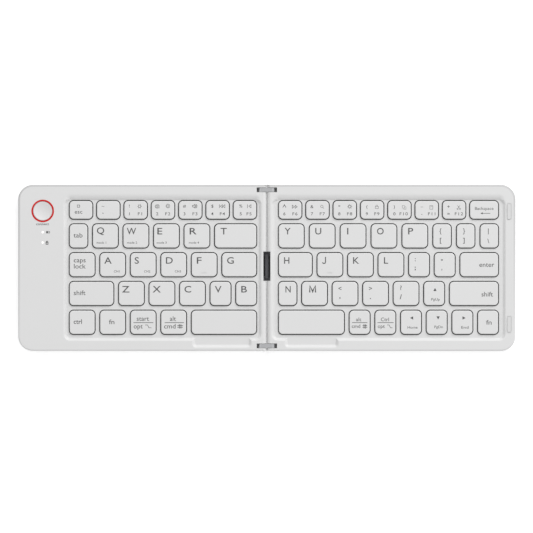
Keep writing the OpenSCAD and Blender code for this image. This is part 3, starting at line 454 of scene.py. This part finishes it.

# Polycarbonate with a little white in it: smooth and milky, with light spreading inside it.
# A painted glow makes it brighter than the covers.
haze_w = 0.5 * mm
milk_depth = 0.5 * mm          # how far light spreads in it
milk_with_painted_glow, tree = new_material("milky polycarbonate")
place = add_node(tree, "ShaderNodeTexCoord").outputs["Object"]
haze = add_node(tree, "ShaderNodeTexNoise", {"Vector": place, "Scale": 1 / haze_w, "Detail": 2})
white = add_node(tree, "ShaderNodeMix", {"Factor": haze.outputs["Fac"], "A": hex_colour("#FFF9F2"),
                                         "B": hex_colour("#FFFFFF")}, data_type="RGBA")
# Its emission is a painted glow, since no lamp lights it from inside.
surface = add_node(tree, "ShaderNodeBsdfPrincipled",
                   {"Base Color": white.outputs["Result"], "Roughness": 0.25, "IOR": 1.58,
                    "Emission Color": (1, 1, 1, 1), "Emission Strength": 0.25,
                    "Subsurface Weight": 0.3,
                    "Subsurface Radius": (milk_depth, milk_depth, milk_depth)})
add_node(tree, "ShaderNodeOutputMaterial", {"Surface": surface.outputs[0]})
dress(milk_with_painted_glow, "indicator_lenses")


# --- Key caps --------------------------------------------------------------
# Sixty-seven thin-walled caps, moulded in the same ABS as the button. Each
# clips onto its scissor.

dress(key_abs, *key_nodes)


# --- Legends on the caps ---------------------------------------------------
# Grey letters and signs, pad-printed in ink on each cap. A print is a film
# about two hundredths of a millimetre thick.

ink_t = 0.02 * mm
ink_sunk = ink_t / 4          # how deep the film bites into the cap's grain
speckle_w = 0.3 * mm          # finer in real ink, drawn as wide as it has to be to show
# Pad-printing ink dries to a flat dark grey, a little uneven, and doesn't shine.
ink, tree = new_material("grey pad-printing ink")
place = add_node(tree, "ShaderNodeTexCoord").outputs["Object"]
speckle = add_node(tree, "ShaderNodeTexNoise", {"Vector": place, "Scale": 1 / speckle_w, "Detail": 3})
tint = add_node(tree, "ShaderNodeMix", {"Factor": speckle.outputs["Fac"], "A": hex_colour("#474747"),
                                        "B": hex_colour("#5A5A5A")}, data_type="RGBA")
surface = add_node(tree, "ShaderNodeBsdfPrincipled",
                   {"Base Color": tint.outputs["Result"], "Roughness": 0.6, "IOR": 1.5})
add_node(tree, "ShaderNodeOutputMaterial", {"Surface": surface.outputs[0]})

capital_share = 0.72          # height of a capital in the built-in font, as a share of its size
bold = 0.04 * mm              # what the ink adds round the big letters
medium = 0.015 * mm           # round the words
fine = 0.005 * mm             # and round the smallest ones
mitre_least = 0.35            # keeps the mitre of a sharp corner short


def direction(start, end):
    """The unit vector from one point to another."""
    dx, dy = end[0] - start[0], end[1] - start[1]
    reach = math.hypot(dx, dy)
    return dx / reach, dy / reach


class Print:
    """One printed film: marks are added to it, and then it becomes a piece."""

    def __init__(self, top):
        self.bm = bmesh.new()
        self.base = top - ink_sunk

    def text(self, words, x, y, height, align="CENTER", wide=1.0, weight=bold, spacing=1.0):
        """Words whose capitals have this height, on a line whose middle is at y."""
        curve = bpy.data.curves.new("words", "FONT")
        curve.body = words
        curve.size = height / capital_share
        curve.align_x = align
        curve.space_character = spacing
        curve.extrude = ink_t / 2
        curve.offset = weight
        curve.resolution_u = 3
        holder = bpy.data.objects.new("words", curve)
        scene.collection.objects.link(holder)
        graph = bpy.context.evaluated_depsgraph_get()
        mesh = bpy.data.meshes.new_from_object(holder.evaluated_get(graph))
        for vertex in mesh.vertices:
            vertex.co.x = x + vertex.co.x * wide
            vertex.co.y += y - height / 2
            vertex.co.z += self.base + ink_t / 2
        self.bm.from_mesh(mesh)
        bpy.data.objects.remove(holder)
        bpy.data.curves.remove(curve)
        bpy.data.meshes.remove(mesh)

    def area(self, points):
        """A filled outline."""
        flat = [self.bm.verts.new((x, y, self.base)) for x, y in points]
        self.raise_faces([self.bm.faces.new(flat)])

    def stroke(self, points, width, closed=False):
        """A line of one width through the points, with mitred corners."""
        count = len(points)
        sides = []
        for i, (x, y) in enumerate(points):
            ways = []
            if i > 0 or closed:
                ways.append(direction(points[i - 1], (x, y)))
            if i + 1 < count or closed:
                ways.append(direction((x, y), points[(i + 1) % count]))
            nx, ny = -(ways[0][1] + ways[-1][1]), ways[0][0] + ways[-1][0]
            scale = width / 2 / max(mitre_least, math.hypot(nx, ny) ** 2 / 2)
            sides.append([self.bm.verts.new((x + s * nx * scale, y + s * ny * scale, self.base))
                          for s in (-1, 1)])
        following = sides[1:] + (sides[:1] if closed else [])
        self.raise_faces([self.bm.faces.new((a[0], b[0], b[1], a[1])) for a, b in zip(sides, following)])

    def raise_faces(self, faces):
        """Gives new flat faces the film's thickness."""
        grown = bmesh.ops.extrude_face_region(self.bm, geom=faces)
        lifted = [g for g in grown["geom"] if isinstance(g, bmesh.types.BMVert)]
        bmesh.ops.translate(self.bm, verts=lifted, vec=(0, 0, ink_t))
        bmesh.ops.recalc_face_normals(self.bm, faces=self.bm.faces)

    def piece(self, name, body):
        """Makes the finished film a piece that rides on a body."""
        mesh = bpy.data.meshes.new(name)
        self.bm.to_mesh(mesh)
        self.bm.free()
        mesh.materials.append(ink)
        film = bpy.data.objects.new(name, mesh)
        scene.collection.objects.link(film)
        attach(film, body)


def at(x, y, *points):
    """Points given in mm from (x, y)."""
    return [(x + px * mm, y + py * mm) for px, py in points]


def turned(x, y, r, start, end, step=20):
    """Points on a circle of r mm about (x, y), from one angle to another in degrees."""
    return [(x + r * mm * math.cos(math.radians(a)), y + r * mm * math.sin(math.radians(a)))
            for a in range(start, end + 1, step)]


# The pictures and signs are drawn about (x, y), with their sizes in mm and lines of these widths.
line_w = 0.3 * mm
slim_w = 0.9 * line_w
wedge_w = 0.85 * line_w
broad_w = 1.2 * line_w
grid_w = 1.25 * line_w
fat_w = 1.5 * line_w
hair_w = 0.2 * mm
thinnest_w = 0.8 * hair_w


def icon_sun(film, x, y, r, ray, turns):
    """A ring with rays at these turns, which end this far from it."""
    film.stroke(turned(x, y, r, 0, 340), line_w, closed=True)
    for turn in turns:
        a = math.radians(turn)
        film.stroke([(x + d * mm * math.cos(a), y + d * mm * math.sin(a)) for d in (r + 0.25, r + ray)],
                    slim_w)


def icon_dim(film, x, y):
    """A sun with six short rays."""
    icon_sun(film, x - 0.45 * mm, y - 0.1 * mm, 0.78, 0.6, range(0, 360, 60))


def icon_bright(film, x, y):
    """A sun with eight rays."""
    icon_sun(film, x + 0.15 * mm, y + 0.1 * mm, 0.78, 0.7, range(0, 360, 45))


def icon_speaker(film, x, y):
    """A loudspeaker with two waves of sound."""
    film.stroke(at(x, y, (-1.5, -0.45), (-1.5, 0.45), (-0.9, 0.45), (0, 1.15), (0, -1.15), (-0.9, -0.45)),
                line_w, closed=True)
    for r in (0.75, 1.35):
        film.stroke(turned(x - 0.1 * mm, y, r, -60, 60), line_w)


def icon_wedges(film, x, y, way, places, bar=None):
    """Open triangles that point one way, and a bar at one side."""
    for place in places:
        film.stroke(at(x, y, (way * (place + 0.75), 0), (way * (place - 0.55), 0.95),
                       (way * (place - 0.55), -0.95)), wedge_w, closed=True)
    if bar is not None:
        film.stroke(at(x, y, (bar, -1.1), (bar, 1.1)), slim_w)


def icon_rewind(film, x, y):
    """A bar and two triangles that point left."""
    icon_wedges(film, x, y, -1, (-1.05, 0.5), -1.75)


def icon_back(film, x, y):
    """A bar and one triangle that points left."""
    icon_wedges(film, x, y, -1, (-0.3,), -1.35)


def icon_forward(film, x, y):
    """Two triangles that point right."""
    icon_wedges(film, x, y, 1, (-1, 0.75))


def icon_search(film, x, y):
    """A magnifying glass."""
    film.stroke(turned(x - 0.2 * mm, y + 0.2 * mm, 0.75, 0, 340), hair_w, closed=True)
    film.stroke(at(x, y, (0.35, -0.35), (1.05, -1.05)), hair_w)


def icon_lock(film, x, y, w=0.95, line=hair_w):
    """A padlock of half width w, whose bow is narrower than its body."""
    bow = 0.62 * w
    film.stroke(at(x, y, (-w, -1.05), (w, -1.05), (w, 0.15), (-w, 0.15)), line, closed=True)
    film.stroke(at(x, y, (bow, 0.1)) + turned(x, y + 0.45 * mm, bow, 0, 180) + at(x, y, (-bow, 0.1)), line)


def icon_copy(film, x, y):
    """A sheet in front of another one."""
    y -= 0.5 * mm
    film.stroke(at(x, y, (-1.1, -0.3), (0.3, -0.3), (0.3, 1.2), (-1.1, 1.2)), thinnest_w, closed=True)
    film.stroke(at(x, y, (-0.3, -0.55), (-0.3, -1), (1.1, -1), (1.1, 0.5), (0.55, 0.5)), thinnest_w)


def icon_paste(film, x, y):
    """A sheet with a clip."""
    y -= 0.4 * mm
    film.stroke(at(x, y, (-1, -1.1), (0.8, -1.1), (0.8, 1.1), (-1, 1.1)), hair_w, closed=True)
    film.stroke(at(x, y, (-0.5, 0.5), (0.4, 0.5)), hair_w)


def icon_cut(film, x, y):
    """A pair of scissors."""
    y -= 0.45 * mm
    for s in (-1, 1):
        film.stroke(at(x, y, (-s * 0.75, 1.35), (s * 0.45, -0.4)), hair_w)
        film.stroke(turned(x + s * 0.72 * mm, y - 0.85 * mm, 0.4, 0, 330, 30), hair_w, closed=True)


def sign_step(film, x, y, size):
    """A line that steps down, of this half width."""
    film.stroke(at(x, y, (-size, 0.85), (-0.2 * size, 0.85), (0.2 * size, -0.85), (size, -0.85)), line_w)


def sign_grid(film, x, y, size):
    """Two lines across two others, the level ones of this half width."""
    for place in (-0.5, 0.5):
        film.stroke(at(x, y, (place, -1.4), (place, 1.4)), grid_w)
        film.stroke(at(x, y, (-size, place), (size, place)), grid_w)


# A function below that describes a cap's legend, with its places in mm, returns the function that
# draws it between the edges of the cap. escape and backspace, for one cap each, draw theirs at once.
letter_h = 4.1 * mm
usual_wide = 1.15             # how much wider the product's letters are than the built-in font's
# Single letters differ from that: they are narrower in the rounds and wider in the arms.
letter_wide = {"Q": 1.06, "W": 0.94, "E": 1.3, "R": 1.36, "O": 0.97, "P": 1.22, "Y": 1.0, "U": 1.08,
               "F": 1.35, "H": 0.96, "Z": 1.25, "X": 1.2, "B": 1.27, "N": 0.86, "K": 1.08, "L": 1.07}
# The font's M would fill in and its J hangs below the line, so these are drawn as lines this wide.
letter_lines = {"M": (0.82 * mm, [(0.05, 0), (0.07, 1), (0.48, 0.12), (0.89, 1), (0.91, 0)]),
                "J": (0.6 * mm, [(-0.04, 0.2), (0.02, 0.08), (0.16, 0.02), (0.34, 0.08), (0.4, 0.25),
                                 (0.4, 1)])}
mode_h = 1.4 * mm
mode_up = 3.1 * mm            # from the cap's front edge to the middle of its small word
high_drop = 4.15              # from the cap's back edge to the letter's middle
low_drop = 4.45               # which is a little more in the two lower rows


def letter(sign, room, drop=high_drop, small=None, small_x=None):
    """A capital: the room at its left, and from the cap's back edge to its middle. A small word
    may stand below it."""
    def draw(film, left, right, front, back):
        x, y = left + room * mm, back - drop * mm
        if sign in letter_lines:
            width, points = letter_lines[sign]
            film.stroke([(x + px * letter_h, y + (py - 0.5) * letter_h) for px, py in points], width)
        else:
            film.text(sign, x, y, letter_h, "LEFT", letter_wide.get(sign, usual_wide))
        if small:
            film.text(small, left + (small_x or room) * mm, front + mode_up, mode_h, "LEFT", 1.05, fine)
    return draw


def letters(signs, rooms, drop=high_drop):
    """A row of plain capitals."""
    return [letter(sign, room, drop) for sign, room in zip(signs, rooms, strict=True)]


sign_h = 2.8 * mm
dot_bold = 0.1 * mm           # what the ink adds round commas and dots, which are printed fat


def two_signs(upper, lower, inset=4.4, up=4.0, down=9.6):
    """The shifted sign above the plain one, at these places from the cap's corner."""
    def draw(film, left, right, front, back):
        film.text(upper, left + inset * mm, back - up * mm, sign_h)
        film.text(lower, left + inset * mm, back - down * mm, sign_h,
                  weight=dot_bold if lower in ",.;/" else bold)
    return draw


digit_h = 1.9 * mm
digit_inset = 3.4             # from the cap's left edge to its digit
icon_inset = 9.8              # and to its picture
left_up = 3.05                # from its back edge to the upper signs of the left half
right_up = 3.4                # and of the right half, which stand a little lower
digit_drop = 7.8 * mm         # and to the lower ones
icon_sink = 0.15 * mm         # the pictures stand this much below the upper signs


def number(upper, lower, icon=None, function=None, inset=digit_inset, function_x=icon_inset,
           up=left_up):
    """A digit and its shifted sign at the left, a picture and its function key at the right."""
    def draw(film, left, right, front, back):
        x, top, low = left + inset * mm, back - up * mm, back - digit_drop
        if upper == "^":
            film.stroke(at(x, top, (-0.95, -0.6), (0, 1.1), (0.95, -0.6)), broad_w)
        else:
            film.text(upper, x, top, digit_h, "CENTER", usual_wide, bold if upper == "+" else medium)
        if lower == "`":
            film.stroke(at(x, low, (-0.15, 0.6), (0.15, -0.1)), fat_w)
        else:
            film.text(lower, x, low, digit_h, "CENTER", usual_wide, bold if lower == "=" else medium)
        if icon:
            icon(film, left + icon_inset * mm, top - icon_sink)
            film.text(function, left + function_x * mm, low, digit_h, "CENTER", 1.25, fine, 1.15)
    return draw


def right_number(*signs, inset=digit_inset, function_x=icon_inset):
    """The same on the right half."""
    return number(*signs, inset, function_x, right_up)


word_h = 2.9 * mm
word_inset = 2.35 * mm
word_pitch = 3.75 * mm        # from one line of words to the next
word_up = 0.5                 # a single word stands this much above the cap's middle
pair_up = 2.4                 # and the first of two this much higher


def words(*lines, wide=1.08, weight=medium):
    """One or two words at the cap's left edge, about its middle."""
    def draw(film, left, right, front, back):
        first = (front + back) / 2 + (word_up + pair_up * (len(lines) - 1)) * mm
        for i, line in enumerate(lines):
            film.text(line, left + word_inset, first - word_pitch * i, word_h, "LEFT", wide, weight)
    return draw


def right_word(word, room, above=0.15):
    """A word with this room at its right, at this height above the cap's middle."""
    def draw(film, left, right, front, back):
        film.text(word, right - room * mm, (front + back) / 2 + above * mm, word_h, "RIGHT", 1.05, medium)
    return draw


def middle_word(word, aside, above=0.35):
    """A word near the cap's middle."""
    def draw(film, left, right, front, back):
        film.text(word, (left + right) / 2 + aside * mm, (front + back) / 2 + above * mm, word_h,
                  "CENTER", 1.2, medium)
    return draw


small_word_h = 2.3 * mm
rule_drop = 7.35 * mm         # from the cap's back edge to the line between its words
upper_lift = 0.88             # from that line to the middle of the upper word, in its heights
upper_aside = 0.4             # which stands a little to the left
lower_sink = 2.1 * mm         # from the line down to the middle of the lower word
sign_sink = 2.3 * mm          # and of the sign beside it


def stacked(upper, lower, sign, sign_size, sign_in, rule_w, aside=0, height=word_h, out=0,
            upper_wide=1.0, lower_wide=1.0):
    """Two words with a line between them. Beside the lower one, which starts out mm before the
    line does, stands a sign of a given half width, sign_in from the line's right end."""
    def draw(film, left, right, front, back):
        x = (left + right) / 2 + aside * mm
        rule = back - rule_drop
        start = x - (rule_w / 2 + out) * mm
        film.text(upper, x - (upper_aside + out) * mm, rule + upper_lift * height, height, "CENTER",
                  upper_wide, medium)
        film.stroke(at(x, rule, (-rule_w / 2, 0), (rule_w / 2, 0)), broad_w)
        film.text(lower, start, rule - lower_sink, height, "LEFT", lower_wide, medium)
        sign(film, x + (rule_w / 2 - sign_in) * mm, rule - sign_sink, sign_size)
    return draw


small_h = 1.65 * mm
arrow_r = 1.22                # from the wedge's middle to its corners
arrow_corners = (0, 125, 235)
arrow_drop = 4.5              # from the cap's back edge to the wedge
arrow_word_drop = 5.7 * mm    # and from there to the word


def arrow(turn, word, aside=0.6, above=0.0, word_aside=0.3, wide=1.1):
    """A small wedge and a word below it, a little right of the cap's middle."""
    def draw(film, left, right, front, back):
        x, y = (left + right) / 2 + aside * mm, back - (arrow_drop - above) * mm
        film.area([turned(x, y, arrow_r, turn + a, turn + a)[0] for a in arrow_corners])
        film.text(word, x + word_aside * mm, y - arrow_word_drop, small_h, "CENTER", wide, fine)
    return draw


def escape(film, left, right, front, back):
    """A small square above the word."""
    x = left + 5.4 * mm
    film.stroke(at(x, back - 3.15 * mm, (-0.7, -0.7), (0.7, -0.7), (0.7, 0.7), (-0.7, 0.7)),
                slim_w, closed=True)
    film.text("esc", x, back - 6.5 * mm, word_h * 0.85, "CENTER", 1.1, fine)


def backspace(film, left, right, front, back):
    """The word above a long arrow that points left."""
    film.text("Backspace", (left + right) / 2, back - 4.5 * mm, small_h * 1.1, "CENTER", 1.12, fine)
    tip = left + 6.35 * mm
    y = back - 7.55 * mm
    film.stroke(at(tip, y, (1, 0), (6, 0)), line_w)
    film.area(at(tip, y, (0, 0), (1.3, -0.65), (1.3, 0.65)))


# What each node's caps say, from left to right.
marks = {
    "key_escape": [escape],
    "left_number_keys": [
        number("~", "`", inset=3.7), number("!", "1", icon_dim, "F1", 3.15),
        number("@", "2", icon_bright, "F2"), number("#", "3", icon_speaker, "F3"),
        number("$", "4", icon_rewind, "F4", 3.7), number("%", "5", icon_back, "F5", 4.4, 9.45)],
    "key_tab": [words("tab", wide=1.12)],
    "left_upper_letter_keys": [
        letter("Q", 2.2, 3.8, "mode 1"), letter("W", 2.15, small="mode 2"),
        letter("E", 1.6, small="mode 3"), letter("R", 2.65, small="mode 4"), letter("T", 3.4)],
    "key_caps_lock": [words("caps", "lock")],
    "left_home_letter_keys": [
        letter("A", 2.6, low_drop, "CH1", 8.3), letter("S", 2.2, low_drop, "CH2", 8.1),
        letter("D", 2.45, low_drop, "CH3", 8.3), *letters("FG", (2.6, 2.65), low_drop)],
    "key_left_shift": [words("shift")],
    "left_lower_letter_keys": letters("ZXCVB", (1.9, 2.05, 2.5, 2.75, 2.65), low_drop),
    "key_left_ctrl": [words("ctrl", wide=0.96, weight=bold)],
    "key_left_fn": [middle_word("fn", -0.45)],
    "key_start": [stacked("start", "opt", sign_step, 1.9, 3.1, 12.1, 0.15, upper_wide=1.02)],
    "key_left_alt": [
        stacked("alt", "cmd", sign_grid, 1.7, 2.35, 11.8, 0.4, out=0.5, upper_wide=0.96,
                lower_wide=1.07)],
    "right_number_keys": [
        right_number("^", "6", icon_forward, "F6"),
        right_number("&", "7", icon_search, "F7", inset=3.5),
        right_number("*", "8", icon_bright, "F8", inset=3.55),
        right_number("(", "9", icon_lock, "F9", inset=3.7),
        right_number(")", "0", icon_copy, "F10", inset=3.85, function_x=9.45),
        right_number("\u2013", "-", icon_paste, "F11", inset=3.9, function_x=10.15),
        right_number("+", "=", icon_cut, "F12", inset=3.5)],
    "key_backspace": [backspace],
    "right_upper_letter_keys": letters("YUIOP", (3.65, 3.05, 3.55, 3.15, 3.1)) + [
        two_signs("{", "["), two_signs("}", "]"), two_signs("|", "\\", 4.8, 3.9, 10.2)],
    "right_home_letter_keys": letters("HJKL", (2.85, 3.3, 2.7, 2.95), low_drop) + [
        two_signs(":", ";", 3.85, 3.6, 8.8), two_signs('"', "'", 4.4, 5.2, 11.1)],
    "key_enter": [right_word("enter", 2.4)],
    "right_lower_letter_keys": letters("NM", (3.75, 4.5), low_drop) + [
        two_signs("<", ",", 4.5, 4.0, 8.6), two_signs(">", ".", 4.5, 4.0, 9.0),
        two_signs("?", "/", 4.4, 3.6, 9.1)],
    "key_arrow_up": [arrow(90, "PgUp", 0.5, -0.45)],
    "key_right_shift": [right_word("shift", 3.2, -0.35)],
    "key_right_alt": [
        stacked("alt", "cmd", sign_grid, 1.4, 1.55, 9.4, 0.05, small_word_h, out=0.3,
                upper_wide=1.05)],
    "key_right_ctrl": [stacked("Ctrl", "opt", sign_step, 1.6, 2.3, 9.8, 0.15, small_word_h)],
    "key_arrow_left": [arrow(180, "Home")],
    "key_arrow_down": [arrow(270, "PgDn", 0.88, 0.28)],
    "key_arrow_right": [arrow(0, "End", 0.75, 0, 0.75, 1.4)],
    "key_right_fn": [middle_word("fn", 0.6, 0.05)],
}
cap_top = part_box("key_tab")[1].z
for node, drawings in marks.items():
    film = Print(cap_top)
    for draw, cap in zip(drawings, caps_in(node), strict=True):
        draw(film, *cap)
    film.piece("legend_" + node, node)


# --- Print on the left margin ----------------------------------------------
# The word under the button and the two signs beside the lenses, in the same
# ink on the top cover.

ring_proud = 0.1 * mm          # how far the ring stands above the cover
connect_h = 1.5 * mm
connect_drop = 7.9 * mm        # from the middle of the button to the word's
connect_weight = 1.7 * medium
connect_aside = 0.1 * mm       # the word stands this much left of the button's middle
film = Print(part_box("button_ring")[1].z - ring_proud)
film.text("connect", button_x - connect_aside, button_y - connect_drop, connect_h, "CENTER", 1.16,
          connect_weight)

# A battery beside the upper lens and a padlock beside the lower one.
lens_low, lens_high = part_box("indicator_lenses")
lens_edge = 1.25 * mm          # from the end of the lenses' box to the middle of a lens
cell_x, cell_y = button_x + 3.2 * mm, lens_high.y - lens_edge - 0.03 * mm
lock_x, lock_y = button_x + 2.65 * mm, lens_low.y + lens_edge - 0.05 * mm
lock_half = 0.6                # its half width in mm
film.stroke(at(cell_x, cell_y, (-1, -0.6), (0.95, -0.6), (0.95, 0.6), (-1, 0.6)), hair_w, closed=True)
film.area(at(cell_x, cell_y, (1.05, -0.25), (1.3, -0.25), (1.3, 0.25), (1.05, 0.25)))
film.area(at(cell_x, cell_y, (-0.9, -0.4), (0.25, -0.4), (0.25, 0.4), (-0.9, 0.4)))
icon_lock(film, lock_x, lock_y, lock_half, fat_w)
film.piece("margin_print", "left_half")
